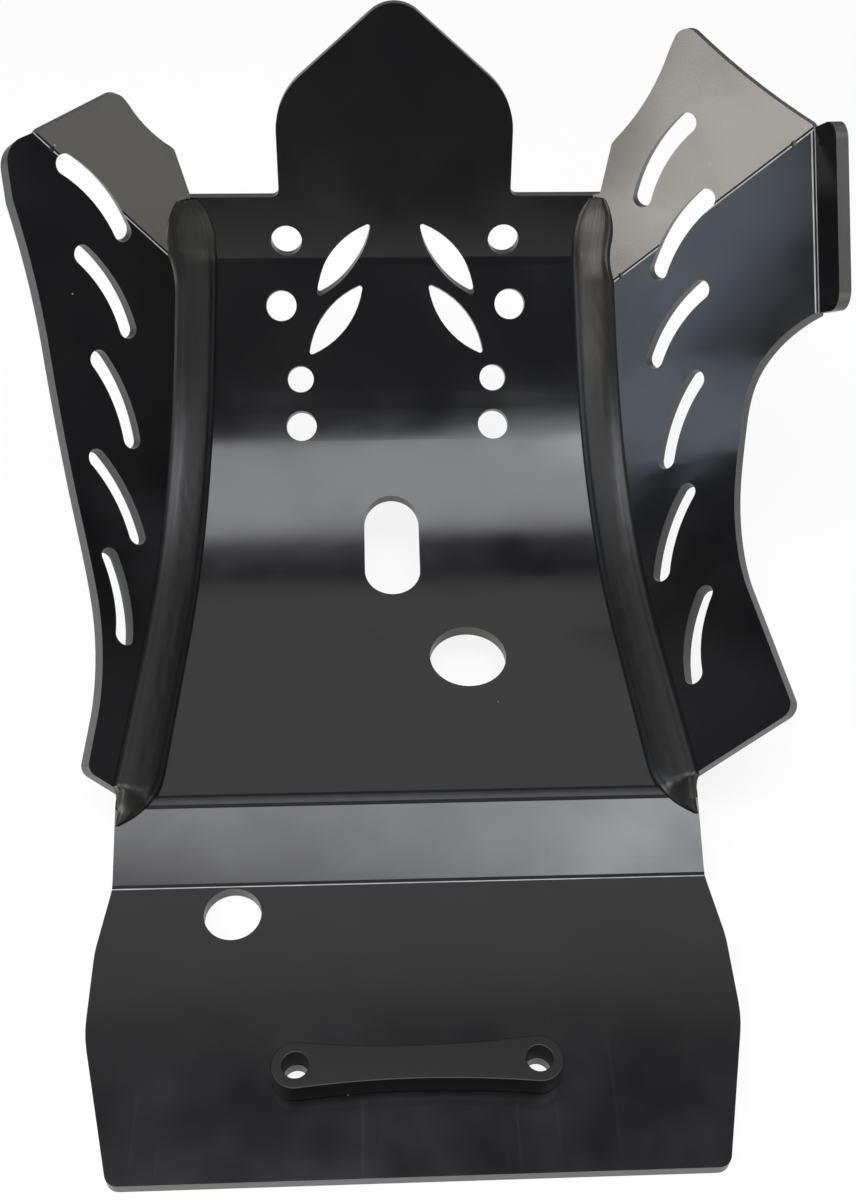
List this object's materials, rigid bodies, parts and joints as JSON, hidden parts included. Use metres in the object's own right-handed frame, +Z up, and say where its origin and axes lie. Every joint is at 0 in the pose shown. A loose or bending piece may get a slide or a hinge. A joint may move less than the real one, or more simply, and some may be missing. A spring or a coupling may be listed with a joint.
{
  "type": "motorcycle skid plate",
  "caption": "Bent black plastic skid plate with a stepped rear guard, a rolled front with a tongue, slotted side wings welded along its edges, and a spacer strip for its rear bolts.",
  "frame": {"origin": "midway between the two rear bolt holes, on the top face of the spacer strip", "axes": "+Z up, along the rear bolts and square to the guard and the floor; +Y forward, towards the tongue; +X to the right of the motorcycle"},
  "size_m": [0.4193, 0.4999, 0.2629],
  "materials": {
    "sheet": "semi-gloss",
    "weld": "satin",
    "spacer": "satin"
  },
  "bodies": {
    "root": {"base_plate": "sheet", "left_wing": "sheet", "right_wing": "sheet", "left_weld_bead": "weld", "right_weld_bead": "weld", "spacer_strip": "spacer"}
  },
  "joints": []
}
